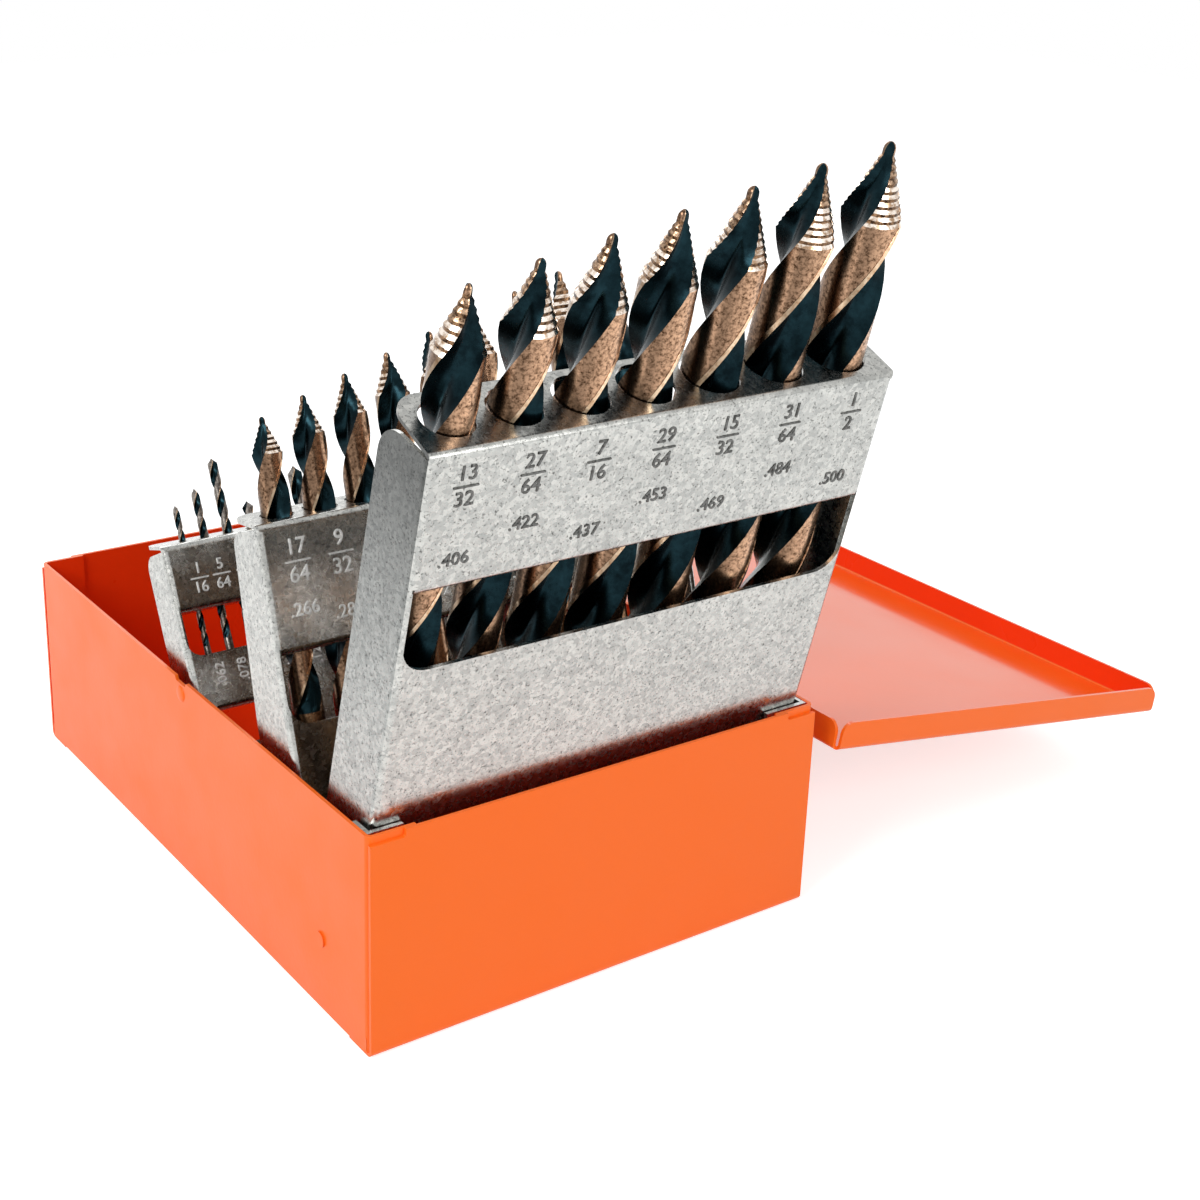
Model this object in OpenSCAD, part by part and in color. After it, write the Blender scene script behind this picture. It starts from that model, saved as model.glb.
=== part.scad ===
// Folded-sheet drill bit case: a base box with an open lid and three fold-up racks of bits.
// Origin: centre of the base's bottom face. +X to the hinge side, +Y to the back, +Z up.
// The racks stand up and the lid hangs open, a little past flat. Millimetres.

/* [Base box] */
// Outer width of the base, latch side to hinge side
case_w = 115; // [110:0.5:125]
// Outer length of the base, front to back
case_l = 172; // [172:0.5:190]
// Outer height of the base
case_h = 50; // [50:0.5:58]
// Thickness of the base and lid sheet
sheet = 0.8; // [0.6:0.1:1]
// Length of the stepped-down stretch of the end walls' rim at each corner
notch_l = 8.2; // [5:0.1:12]
// Depth of that step
notch_d = 1.7; // [1:0.1:3]
// Width of the corner tabs folded behind the end walls
corner_tab_w = 11; // [8:0.5:16]

/* [Lid] */
// Depth of the lid's flanges, outside
lid_depth = 7; // [5:0.5:9]
// Clearance between the lid and the walls and rim that it closes over
lid_gap = 0.2; // [0.15:0.05:0.4]
// How far the lid is open at rest, from closed (degrees)
lid_open = 189.3; // [181:0.1:192]
// Corner radius of the lid's end flanges
lid_corner_r = 3; // [2:0.5:4]

/* [Hinge] */
// Distance of the hinge line outboard of the base wall
hinge_out = 4.2; // [4:0.1:5]
// Distance of the hinge line below the rim
hinge_drop = 5.8; // [5.6:0.1:6.5]
// Diameter of the hinge pin
pin_d = 2; // [1.5:0.1:2.2]
// Radial running clearance of the hinge pin
pin_fit = 0.05; // [0.03:0.01:0.08]
// Outer diameter of the knuckles
knuckle_d = 4; // [3.6:0.1:4.2]
// Number of knuckles, an odd number
knuckle_n = 9; // [5:2:13]
// Gap between knuckles
knuckle_gap = 0.4; // [0.3:0.1:0.8]
// Distance of the hinge's ends from the ends of the case
hinge_margin = 12; // [8:1:20]
// Thickness of the hinge leaves
leaf_t = 0.8; // [0.6:0.1:1]
// Height of the base leaf
base_leaf_h = 12; // [8:1:16]

/* [Catch] */
// Width of the dip in the latch-side rim over the catch
catch_w = 4.8; // [3:0.2:8]
// Depth of the dip
catch_dip = 1; // [0.6:0.1:1.4]
// Diameter of the round catch bump on the latch-side wall
catch_d = 4; // [3:0.5:5]
// How far the bump stands out
catch_h = 0.5; // [0.4:0.05:0.7]

/* [Racks] */
// Thickness of the rack sheet
rack_t = 0.8; // [0.6:0.1:1]
// Space between the racks and the side walls
rack_side_gap = 1.7; // [1.6:0.1:3]
// Clearance round a bit in its holes, on the radius
hole_fit = 0.3; // [0.25:0.05:0.5]
// Gap between the shelves and the flanges
shelf_gap = 0.4; // [0.3:0.1:0.6]
// How far the top shelves rise to the back, from square to the face (degrees)
shelf_tilt = 9; // [0:0.5:12]
// Radius of the flanges' lower back corners
foot_r = 4; // [3:0.5:4.5]
// Clearance under each bit at rest
bit_seat = 0.1; // [0.05:0.05:0.2]
// Diameter of the pivot studs
stud_d = 4; // [3:0.1:4.2]
// Radial running clearance of the pivot studs
stud_fit = 0.05; // [0.03:0.01:0.08]
// Diameter of the studs' collars and heads
stud_head_d = 7; // [6:0.5:8]
// Thickness of the studs' inner heads
stud_head_t = 1; // [0.8:0.1:1.2]
// Side play of the racks on their studs, each side
stud_play = 0.1; // [0.05:0.05:0.2]

/* [Front rack: pivot, lean, heights from the pivot] */
// Pivot's distance from the front of the base
front_pivot_y = 15.53; // [15.2:0.01:16]
// Pivot's height from the brackets' tops, negative is below
front_pivot_z = -11.9; // [-12.4:0.1:-11.4]
// Lean backward at rest (degrees), negative is forward
front_lean = -14.46; // [-14.5:0.01:-13]
// Distance of the pivot behind the face
front_pivot_n = 8.5; // [8:0.1:8.6]
// Height of the rack's top over the pivot
front_top = 99.1; // [90:0.1:105]
// Depth of the floor of the rack below the pivot
front_floor = 6.6; // [6:0.1:7]
// Lower edge of the window over the pivot
front_win_lo = 51.6; // [45:0.1:56]
// Upper edge of the window over the pivot
front_win_hi = 69.4; // [66:0.1:74]
// Depth of the flanges at the top
front_depth_top = 16.8; // [16.4:0.1:17]
// Depth of the flanges low down
front_depth_low = 17; // [16.8:0.1:17.2]
// Height over the pivot where they reach that depth
front_taper_z = 12; // [8:1:40]
// Radius of the flanges' upper back corners
front_corner_r = 6.7; // [4:0.1:8]
// Space between the flange and the first and last bits
front_margin = 2.55; // [2:0.05:4]
// Distance of the bits' centres behind the face
front_bit_n = 9; // [8.8:0.1:9.4]

/* [Middle rack] */
// Pivot's distance from the front of the base
middle_pivot_y = 33.96; // [33.5:0.01:36]
// Pivot's height over the bottom of the base
middle_pivot_z = 21.2; // [21:0.1:21.5]
// Lean backward at rest (degrees)
middle_lean = 17.3; // [16:0.1:19]
// Distance of the pivot behind the face
middle_pivot_n = 7; // [6.8:0.1:7.2]
// Height of the rack's top over the pivot
middle_top = 78; // [74:0.1:80]
// Depth of the floor of the rack below the pivot
middle_floor = 5.1; // [4.8:0.1:6]
// Lower edge of the window over the pivot
middle_win_lo = 35.4; // [32:0.1:38]
// Upper edge of the window over the pivot
middle_win_hi = 50.4; // [48:0.1:54]
// Depth of the flanges at the top
middle_depth_top = 12.4; // [12.2:0.1:13]
// Depth of the flanges low down
middle_depth_low = 15.3; // [14.8:0.1:15.4]
// Height over the pivot where they reach that depth
middle_taper_z = 35; // [30:1:40]
// Radius of the flanges' upper back corners
middle_corner_r = 3.8; // [3:0.1:5]
// Space between the flange and the first and last bits
middle_margin = 3.9; // [3:0.1:5]
// Distance of the bits' centres behind the face
middle_bit_n = 6.5; // [6.3:0.1:6.8]

/* [Rear rack] */
// Pivot's distance from the front of the base
rear_pivot_y = 69.97; // [68:0.01:70.5]
// Pivot's height over the bottom of the base
rear_pivot_z = 7.2; // [7.1:0.1:7.4]
// Lean backward at rest (degrees)
rear_lean = 26.5; // [24:0.1:28]
// Distance of the pivot behind the face
rear_pivot_n = 5.2; // [5.1:0.1:5.3]
// Height of the rack's top over the pivot
rear_top = 75.8; // [72:0.1:77]
// Depth of the floor of the rack below the pivot
rear_floor = 2.1; // [2:0.1:2.4]
// Lower edge of the window over the pivot
rear_win_lo = 49.7; // [46:0.1:52]
// Upper edge of the window over the pivot
rear_win_hi = 60; // [58:0.1:62]
// Depth of the flanges at the top
rear_depth_top = 10.9; // [10:0.1:11.2]
// Depth of the flanges low down
rear_depth_low = 11.2; // [11:0.1:11.3]
// Height over the pivot where they reach that depth
rear_taper_z = 12; // [8:1:40]
// Radius of the flanges' upper back corners
rear_corner_r = 3.7; // [3:0.1:5]
// Space between the flange and the first and last bits
rear_margin = 5.8; // [5.6:0.1:7]
// Distance of the bits' centres behind the face
rear_bit_n = 5; // [4.8:0.1:5.2]
// Height of the ledge for the three shortest bits over the pivot
ledge_hi = 37.2; // [35:0.1:39]
// Height of the ledge for the next three bits over the pivot
ledge_lo = 16.2; // [15:0.1:18]
// Length of a ledge beyond the centres of its end bits
ledge_inset = 2.8; // [2:0.1:2.9]
// Depth of the ledges
ledge_depth = 8.5; // [8:0.1:10]

/* [Side brackets] */
// Thickness of the brackets
bracket_t = 1; // [0.8:0.1:1.2]
// Height of the brackets' tops over the bottom of the base
bracket_h = 49.9; // [46:0.1:49.9]
// Reach of the front tab in from the wall, latch side
bracket_tab_left = 8.3; // [6:0.1:10]
// Reach of the front tab in from the wall, hinge side
bracket_tab_right = 11.6; // [6:0.1:12]
// Gap between the leaning front rack and the tab that stops it
stop_gap = 0.25; // [0.2:0.05:0.3]
// Distance of the rivet through bracket and wall from the front
wall_rivet_y = 20.4; // [19:0.1:22]
// Height of that rivet
wall_rivet_z = 17.2; // [16:0.1:18]
// Diameter of the rivet's heads
wall_rivet_d = 3.4; // [3:0.1:4]
// Height of the rivet's heads
wall_rivet_h = 0.4; // [0.3:0.1:0.6]

/* [Bits] */
// Length of the stepped tip, in diameters
tip_ratio = 1.3; // [1:0.05:1.5]
// Share of a fluted bit's length that is plain shank
shank_ratio = 0.26; // [0.2:0.01:0.4]
// Lead of the flutes, in diameters
lead_ratio = 6.1; // [5:0.1:7]
// Steps in the tip of the larger bits
tip_steps = 6; // [4:1:8]
// Share of the radius that is left at the bottom of the flutes
web_ratio = 0.42; // [0.35:0.01:0.5]

/* [Hidden] */
$fn = 48;
eps = 0.01;
inch = 25.4;
slice_deg = 30;
// the fluted lengths start this deep in what they stand on, and are this much thinner
lap = 0.3;
land_drop = 0.03;
FIXED = ["base_box", "side_bracket_left", "side_bracket_right", "bracket_rivets",
    "front_rack_studs", "middle_rack_studs", "rear_rack_studs", "base_hinge_leaf", "hinge_pin",
    "lid", "lid_hinge_leaf", "front_rack", "middle_rack", "rear_rack"];

hinge_x = case_w / 2 + hinge_out;
hinge_z = case_h - hinge_drop;
lid_t = sheet;
lid_over = lid_gap + lid_t;
lid_top = case_h + lid_gap + lid_t;
lid_low = lid_top - lid_depth;
hinge_l = case_l - 2 * hinge_margin;
knuckle_l = (hinge_l - (knuckle_n - 1) * knuckle_gap) / knuckle_n;
inner_w = case_w - 2 * sheet;
rack_w = inner_w - 2 * rack_side_gap;
rack_in = rack_w - 2 * rack_t;
y_front = -case_l / 2;
catch_z = (case_h + lid_low) / 2 - catch_dip / 2;
// jobber lengths of bits of 4/64 to 15/64 inch, in inches
JOBBER = [1.875, 2, 2.25, 2.625, 2.75, 2.875, 3.125, 3.25, 3.5, 3.625, 3.75, 3.875];

// one rack each: [pivot y, pivot z, lean, pivot n, top, floor, window low, window high,
// [depth top, depth low, taper z, corner radius], margin, bit n, first bit, last bit]
FRONT = [front_pivot_y, bracket_h + front_pivot_z, front_lean, front_pivot_n, front_top, front_floor,
    front_win_lo, front_win_hi,
    [front_depth_top, front_depth_low, front_taper_z, front_corner_r],
    front_margin, front_bit_n, 26, 32];
MIDDLE = [middle_pivot_y, middle_pivot_z, middle_lean, middle_pivot_n, middle_top, middle_floor,
    middle_win_lo, middle_win_hi,
    [middle_depth_top, middle_depth_low, middle_taper_z, middle_corner_r],
    middle_margin, middle_bit_n, 17, 25];
REAR = [rear_pivot_y, rear_pivot_z, rear_lean, rear_pivot_n, rear_top, rear_floor,
    rear_win_lo, rear_win_hi,
    [rear_depth_top, rear_depth_low, rear_taper_z, rear_corner_r],
    rear_margin, rear_bit_n, 4, 16];

// back face of the brackets' front tabs, which stop the leaning front rack
stop_y = face_y(FRONT, bracket_h) - stop_gap;

function gcd(a, b) = b == 0 ? a : gcd(b, a % b);
function bit_name(n) = str("bit_", n / gcd(n, 64), "_", 64 / gcd(n, 64));
function bit_d(n) = n / 64 * inch;
function bit_l(n) = (n < 16 ? JOBBER[n - 4] : 2 + n / 8) * inch;
function rack_of(n) = n >= FRONT[11] ? FRONT : n >= MIDDLE[11] ? MIDDLE : REAR;
function sum_d(a, b) = a > b ? 0 : bit_d(a) + sum_d(a + 1, b);
function bit_space(r) = (rack_in - 2 * r[9] - sum_d(r[11], r[12])) / (r[12] - r[11]);
function bit_x(n, r) = -rack_in / 2 + r[9] + sum_d(r[11], n - 1) + (n - r[11]) * bit_space(r)
    + bit_d(n) / 2;
// height of what carries a bit, over the pivot
function seat_z(n) = n <= 6 ? ledge_hi : n <= 9 ? ledge_lo : -rack_of(n)[5];
function hole_r(n) = bit_d(n) / 2 + hole_fit;
// top of a rack's flanges, under its top shelf, over the pivot
function flange_top(r) = r[4] - rack_t - shelf_gap;
// depth of a rack's flanges at a height over the pivot
function depth_at(r, z) = let (d = r[8])
    z < d[2] ? d[1] : d[1] + (d[0] - d[1]) * (z - d[2]) / (flange_top(r) - d[3] - d[2]);

// ---- placing ----

module in_rack(r) {
    translate([0, y_front + r[0], r[1]]) rotate([-r[2], 0, 0]) children();
}

// s < 0: the latch side, the children are drawn on the hinge side
module on_side(s) {
    if (s < 0) mirror([1, 0, 0]) children();
    else children();
}

module open_lid() {
    translate([hinge_x, 0, hinge_z]) rotate([0, lid_open, 0]) translate([-hinge_x, 0, -hinge_z])
        children();
}

// a plate in the Y-Z plane, from a 2D shape drawn as [y, z], between x0 and x0 + t
module plate_yz(x0, t) {
    translate([x0, 0, 0]) rotate([90, 0, 90]) linear_extrude(t) children();
}

// a plate in the X-Z plane, from a 2D shape drawn as [x, z], between y0 and y0 + t
module plate_xz(y0, t) {
    translate([0, y0 + t, 0]) rotate([90, 0, 0]) linear_extrude(t) children();
}

// rectangle whose two upper corners are round
module round_top(x0, y0, w, h, r) {
    translate([x0, y0]) {
        square([w, h - r]);
        translate([r, 0]) square([w - 2 * r, h]);
        translate([r, h - r]) circle(r);
        translate([w - r, h - r]) circle(r);
    }
}

// ---- base ----

module end_wall() {
    difference() {
        translate([-case_w / 2, 0]) square([case_w, case_h]);
        for (s = [-1, 1]) translate([s * (case_w / 2 - notch_l / 2), case_h - notch_d / 2 + eps])
            square([notch_l + 2 * eps, notch_d + 2 * eps], center = true);
    }
}

module base_box() {
    color("darkorange") {
        translate([-case_w / 2, y_front, 0]) cube([case_w, case_l, sheet]);
        for (y = [y_front, -y_front - sheet]) plate_xz(y, sheet) end_wall();
        side_walls();
        // tabs of the side walls, folded behind the end walls
        for (s = [-1, 1], y = [y_front + sheet, -y_front - 2 * sheet])
            translate([s * (inner_w / 2 - corner_tab_w / 2), y + sheet / 2, (case_h - sheet) / 2])
                cube([corner_tab_w + 2 * eps, sheet, case_h - sheet], center = true);
        catch_bump();
    }
}

// the latch side has a dip in its rim, both have a hole for the bracket's rivet
module side_walls() {
    difference() {
        for (x = [-case_w / 2, case_w / 2 - sheet])
            translate([x, y_front, 0]) cube([sheet, case_l, case_h]);
        translate([-case_w / 2, 0, case_h])
            cube([4 * sheet, catch_w, 2 * catch_dip], center = true);
        rivet_shanks(case_w / 2 - 2 * sheet, 3 * sheet);
    }
}

// round bump that the lid's free flange snaps over
module catch_bump() {
    translate([-case_w / 2 - catch_h, 0, catch_z]) rotate([0, 90, 0])
        cylinder(d1 = catch_d / 2, d2 = catch_d, h = catch_h + eps);
}

// ---- lid ----

module lid() {
    lid_w = case_w + 2 * lid_over;
    lid_l = case_l + 2 * lid_over;
    color("orangered") open_lid() difference() {
        union() {
            translate([-lid_w / 2, -lid_l / 2, lid_top - lid_t]) cube([lid_w, lid_l, lid_t]);
            for (x = [-lid_w / 2, lid_w / 2 - lid_t]) plate_yz(x, lid_t) lid_flange(lid_l);
            for (y = [-lid_l / 2, lid_l / 2 - lid_t]) plate_xz(y, lid_t) lid_flange(lid_w);
            lid_dimple(-lid_w / 2 + eps);
        }
        lid_dimple(-lid_w / 2 + lid_t + eps);
    }
}

// flange with the corners of its free edge round
module lid_flange(l) {
    translate([0, lid_top]) mirror([0, 1]) round_top(-l / 2, 0, l, lid_depth, lid_corner_r);
}

// pressed-out dimple over the catch bump
module lid_dimple(x) {
    translate([x, 0, catch_z]) rotate([0, -90, 0])
        cylinder(d1 = catch_d + 2 * lid_gap, d2 = catch_d / 2, h = catch_h - lid_gap / 2);
}

// ---- hinge ----

// knuckles first, first + 2, ... from the front end
module knuckles(first) {
    for (i = [first:2:knuckle_n - 1])
        translate([0, -hinge_l / 2 + i * (knuckle_l + knuckle_gap), 0]) children();
}

module barrel() {
    translate([hinge_x, 0, hinge_z]) rotate([-90, 0, 0]) difference() {
        cylinder(d = knuckle_d, h = knuckle_l);
        translate([0, 0, -1]) cylinder(d = pin_d + 2 * pin_fit, h = knuckle_l + 2);
    }
}

// web from a leaf's edge to the barrel, kept out of the bore
module web(x0, z0, h) {
    difference() {
        translate([x0, 0, z0]) cube([hinge_x - x0, knuckle_l, h]);
        translate([hinge_x, -1, hinge_z]) rotate([-90, 0, 0])
            cylinder(d = knuckle_d - leaf_t, h = knuckle_l + 2);
    }
}

module base_hinge_leaf() {
    wall_x = case_w / 2;
    web_z = hinge_z - knuckle_d / 2;
    color("silver") {
        translate([wall_x, -hinge_l / 2, web_z + leaf_t - base_leaf_h])
            cube([leaf_t, hinge_l, base_leaf_h]);
        knuckles(0) {
            barrel();
            web(wall_x, web_z, leaf_t);
        }
    }
}

module lid_hinge_leaf() {
    leaf_x = case_w / 2 + lid_over;
    web_z = hinge_z + knuckle_d / 2 - leaf_t;
    color("silver") open_lid() {
        translate([leaf_x, -hinge_l / 2, web_z]) cube([leaf_t, hinge_l, lid_top - web_z]);
        knuckles(1) {
            barrel();
            web(leaf_x, web_z, leaf_t);
        }
    }
}

module hinge_pin() {
    color("silver") translate([hinge_x, -hinge_l / 2, hinge_z]) rotate([-90, 0, 0])
        cylinder(d = pin_d, h = hinge_l);
}

// ---- side brackets and pivots ----

// y of a rack's face at a height over the bottom of the base
function face_y(r, z) = y_front + r[0] - r[3] * cos(r[2])
    + (z - r[1] - r[3] * sin(r[2])) * tan(r[2]);

// [y, z] outline of the bracket along the wall, from the front tab back past the rear pivot
module bracket_shape() {
    r = stud_head_d / 2 + 1.2;
    tab_y = stop_y - bracket_t;
    p = [for (k = [FRONT, MIDDLE, REAR]) [y_front + k[0], k[1]]];
    low = 2 * sheet;
    polygon([[tab_y, bracket_h / 4], [tab_y, bracket_h], [tab_y + 6, bracket_h],
        p[0] + [0, r], p[0] + [r, 0], p[1] + [r, r / 2], p[2] + [r, r / 2],
        [p[2][0] + r, low], [p[1][0] - r, low]]);
    translate(p[0]) circle(r);
}

module side_bracket(s) {
    x_wall = inner_w / 2;
    tab_w = s < 0 ? bracket_tab_left : bracket_tab_right;
    color("gainsboro") on_side(s) {
        difference() {
            plate_yz(x_wall - bracket_t, bracket_t) bracket_shape();
            for (k = [FRONT, MIDDLE, REAR])
                translate([x_wall - 2 * bracket_t, y_front + k[0], k[1]])
                    rotate([0, 90, 0]) cylinder(d = stud_d, h = 3 * bracket_t);
            rivet_shanks(x_wall - 2 * bracket_t, 3 * bracket_t);
        }
        translate([x_wall - tab_w, stop_y - bracket_t, bracket_h / 2])
            cube([tab_w, bracket_t, bracket_h / 2]);
    }
}

// a cylinder on each side's rivet line, from x outwards
module rivet_shanks(x, l, d = wall_rivet_d / 2) {
    for (s = [-1, 1]) on_side(s) translate([x, y_front + wall_rivet_y, wall_rivet_z])
        rotate([0, 90, 0]) cylinder(d = d, h = l);
}

module bracket_rivets() {
    in_x = inner_w / 2 - bracket_t;
    color("darkorange") {
        rivet_shanks(in_x - wall_rivet_h, case_w / 2 - in_x + 2 * wall_rivet_h);
        rivet_shanks(in_x - wall_rivet_h, wall_rivet_h, wall_rivet_d);
        rivet_shanks(case_w / 2, wall_rivet_h, wall_rivet_d);
    }
}

// shouldered stud: shank in the bracket, collar, journal in the rack's flange, inner head
module studs(r) {
    x_wall = inner_w / 2;
    flange = rack_w / 2;
    head_x = flange - rack_t - stud_play - stud_head_t;
    color("gainsboro") for (s = [-1, 1]) on_side(s)
        translate([0, y_front + r[0], r[1]]) rotate([0, 90, 0]) {
            translate([0, 0, head_x]) cylinder(d = stud_head_d, h = stud_head_t);
            translate([0, 0, head_x]) cylinder(d = stud_d, h = x_wall - head_x);
            translate([0, 0, flange + stud_play])
                cylinder(d = stud_head_d, h = x_wall - bracket_t - flange - stud_play);
        }
}

// ---- racks, drawn with the pivot as origin, the face towards -Y ----

// [y, z] outline of a flange, tapered, with its upper and lower back corners round
module flange_shape(r) {
    y0 = -r[3];
    top_y = y0 + r[8][0];
    low_y = y0 + r[8][1];
    top_z = flange_top(r);
    cr = r[8][3];
    bottom = -r[5] - rack_t;
    polygon([[y0, bottom], [y0, top_z], [top_y - cr, top_z], [top_y, top_z - cr],
        [low_y, r[8][2]], [low_y, bottom + foot_r], [low_y - foot_r, bottom]]);
    translate([top_y - cr, top_z - cr]) circle(cr);
    translate([low_y - foot_r, bottom + foot_r]) circle(foot_r);
}

// [x, z] outline of the window: full width, upper corners square, lower corners round
module window_shape(r) {
    cr = (r[7] - r[6]) * 0.35;
    translate([0, r[7]]) mirror([0, 1])
        round_top(-rack_in / 2, 0, rack_in, r[7] - r[6], cr);
}

// shelf folded back from the face, with its two back corners round and a hole per bit
module shelf(r, z, x0, x1, depth, holes) {
    translate([0, 0, z]) linear_extrude(rack_t) difference() {
        round_top(x0, -r[3], x1 - x0, depth, depth * 0.35);
        for (n = holes) translate([bit_x(n, r), r[10] - r[3]]) circle(hole_r(n));
    }
}

// top shelf, over the flanges, tilted about the face's top edge
module top_shelf(r) {
    difference() {
        translate([0, -r[3], r[4]]) rotate([shelf_tilt, 0, 0]) translate([0, r[3], 0])
            shelf(r, -rack_t, -rack_w / 2, rack_w / 2, r[8][0], []);
        for (n = [r[11]:r[12]])
            translate([bit_x(n, r), r[10] - r[3], r[4] - 2 * rack_t])
                cylinder(r = hole_r(n), h = r[8][0]);
    }
}

module rack_shell(r) {
    y0 = -r[3];
    bottom = -r[5] - rack_t;
    x1 = rack_in / 2 - shelf_gap;
    // the lowest shelf keeps clear of the studs' heads
    x2 = r[5] > stud_head_d / 2 + shelf_gap ? x1 : x1 - stud_play - stud_head_t;
    bits = [r[11]:r[12]];
    plate_xz(y0, rack_t) difference() {
        translate([-rack_w / 2, bottom]) square([rack_w, r[4] - bottom]);
        window_shape(r);
    }
    for (x = [-rack_w / 2, rack_in / 2]) plate_yz(x, rack_t) difference() {
        flange_shape(r);
        circle(d = stud_d + 2 * stud_fit);
    }
    top_shelf(r);
    shelf(r, r[7], -x1, x1, depth_at(r, r[7]), bits);
    shelf(r, bottom, -x2, x2, r[8][1] - foot_r, []);
}

module front_rack() { color("lightgray") in_rack(FRONT) rack_shell(FRONT); }

module middle_rack() { color("lightgray") in_rack(MIDDLE) rack_shell(MIDDLE); }

// ends in x of the ledge that carries bits a to b
function ledge_x(a, b) = [bit_x(a, REAR) - ledge_inset, bit_x(b, REAR) + ledge_inset];

// ledge folded back out of the face, carrying the shorter bits
module ledge(z, x) {
    shelf(REAR, z - rack_t, x[0], x[1], ledge_depth, []);
}

// the opening in the face that the ledge was cut from
module ledge_opening(z, x) {
    translate([x[0], -REAR[3] - 1, z - rack_t - ledge_depth])
        cube([x[1] - x[0], rack_t + 1 + eps, ledge_depth]);
}

module rear_rack() {
    color("lightgray") in_rack(REAR) {
        difference() {
            rack_shell(REAR);
            ledge_opening(ledge_hi, ledge_x(4, 6));
            ledge_opening(ledge_lo, ledge_x(7, 9));
        }
        ledge(ledge_hi, ledge_x(4, 6));
        ledge(ledge_lo, ledge_x(7, 9));
    }
}

// ---- bits ----

// cross-section of a two-flute bit
module flute_section(r) {
    w = web_ratio * r;
    polygon([for (a = [0, 180], p = [[r, -42], [r, 0], [r, 42], [w, 90]])
        p[0] * [cos(a + p[1]), sin(a + p[1])]]);
}

// fluted length from z0 to z1, with the flutes in line along the whole bit
module fluted(d, r, z0, z1) {
    turn = 360 / (lead_ratio * d);
    slices = ceil((z1 - z0) * turn / slice_deg);
    translate([0, 0, z0]) rotate([0, 0, z0 * turn])
        linear_extrude(z1 - z0, twist = -(z1 - z0) * turn, slices = slices, segments = 1)
            flute_section(r);
}

// the larger bits are fluted with a stepped tip, the smaller ones are drawn plain
module bit(n) {
    r = rack_of(n);
    d = bit_d(n);
    l = bit_l(n);
    seat = seat_z(n) + bit_seat;
    color(n > REAR[12] ? "peru" : "dimgray") in_rack(r)
        translate([bit_x(n, r), r[10] - r[3], seat])
            if (n > REAR[12]) fluted_bit(d, l);
            else plain_bit(d, l);
}

module fluted_bit(d, l) {
    shank_l = shank_ratio * l;
    tip = tip_ratio * d;
    r = d / 2 - land_drop;
    cylinder(d = d, h = shank_l);
    fluted(d, r, shank_l - lap, l - tip);
    for (i = [1:tip_steps])
        fluted(d, r * (1 - 0.86 * i / (tip_steps + 0.4)),
            l - tip + (i - 1) * tip / tip_steps - lap, l - tip + i * tip / tip_steps);
}

module plain_bit(d, l) {
    cylinder(d = d, h = l - d / 2, $fn = 24);
    translate([0, 0, l - d / 2]) cylinder(d1 = d, d2 = d / 8, h = d / 2, $fn = 24);
}

base_box();
side_bracket(-1);  // side_bracket_left
side_bracket(1);  // side_bracket_right
bracket_rivets();
studs(FRONT);  // front_rack_studs
studs(MIDDLE);  // middle_rack_studs
studs(REAR);  // rear_rack_studs
base_hinge_leaf();
hinge_pin();
lid();
lid_hinge_leaf();
front_rack();
middle_rack();
rear_rack();
for (n = [4:32]) bit(n);
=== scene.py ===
"""Visual model of a folded-sheet drill bit case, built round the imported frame.

Lengths are in millimetres until a mesh is made, which is in metres. The base stands on z = 0,
+X is the hinge side and +Y the back. The racks stand up and the lid hangs open."""

import math
import bmesh
import bpy
from mathutils import Matrix, Vector


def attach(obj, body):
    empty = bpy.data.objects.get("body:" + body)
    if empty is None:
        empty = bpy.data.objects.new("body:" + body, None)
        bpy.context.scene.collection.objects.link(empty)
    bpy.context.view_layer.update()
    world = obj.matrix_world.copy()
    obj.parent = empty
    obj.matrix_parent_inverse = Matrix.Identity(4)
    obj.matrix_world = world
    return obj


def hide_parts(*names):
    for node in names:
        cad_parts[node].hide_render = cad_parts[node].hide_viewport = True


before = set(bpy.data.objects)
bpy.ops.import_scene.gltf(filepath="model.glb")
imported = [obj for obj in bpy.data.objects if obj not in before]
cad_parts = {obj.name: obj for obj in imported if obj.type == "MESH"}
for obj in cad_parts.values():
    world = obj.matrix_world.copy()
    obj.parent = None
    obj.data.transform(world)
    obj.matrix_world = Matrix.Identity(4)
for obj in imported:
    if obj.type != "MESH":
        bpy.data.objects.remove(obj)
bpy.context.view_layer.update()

MM = 0.001
INCH = 25.4

# ---- sizes shared with the CAD ----
# the base: outer sizes, sheet, the stepped-down ends of the rims and the folded corner tabs
CASE_W = 115
CASE_L = 172
CASE_H = 50
SHEET = 0.8
NOTCH_L = 8.2
NOTCH_D = 1.7
TAB_W = 11
# the lid, how far it is open in degrees, its hinge line and the catch under the left rim
LID_DEPTH = 7
LID_GAP = 0.2
LID_CORNER_R = 3
LID_OPEN = 189.3
HINGE_OUT = 4.2
HINGE_DROP = 5.8
HINGE_X = CASE_W / 2 + HINGE_OUT
HINGE_Z = CASE_H - HINGE_DROP
CATCH_W = 4.8
CATCH_DIP = 1
CATCH_R = 2.0
CATCH_H = 0.5
CATCH_Z = 46.5
# the racks: sheet, clearances, tilt of the top shelf in degrees, studs
RACK_T = 0.8
RACK_SIDE_GAP = 1.7
RACK_W = CASE_W - 2 * SHEET - 2 * RACK_SIDE_GAP
RACK_IN = RACK_W - 2 * RACK_T
SHELF_GAP = 0.4
SHELF_TILT = 9
HOLE_FIT = 0.3
FOOT_R = 4
STUD_D = 4
STUD_FIT = 0.05
STUD_HEAD_GAP = 1.1
# the drills: gap under their ends, flutes' lead in diameters, lengths in inches from 1/16 to 15/64
BIT_SEAT = 0.1
LEAD_RATIO = 6.1
JOBBER = [1.875, 2, 2.25, 2.625, 2.75, 2.875, 3.125, 3.25, 3.5, 3.625, 3.75, 3.875]
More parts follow.
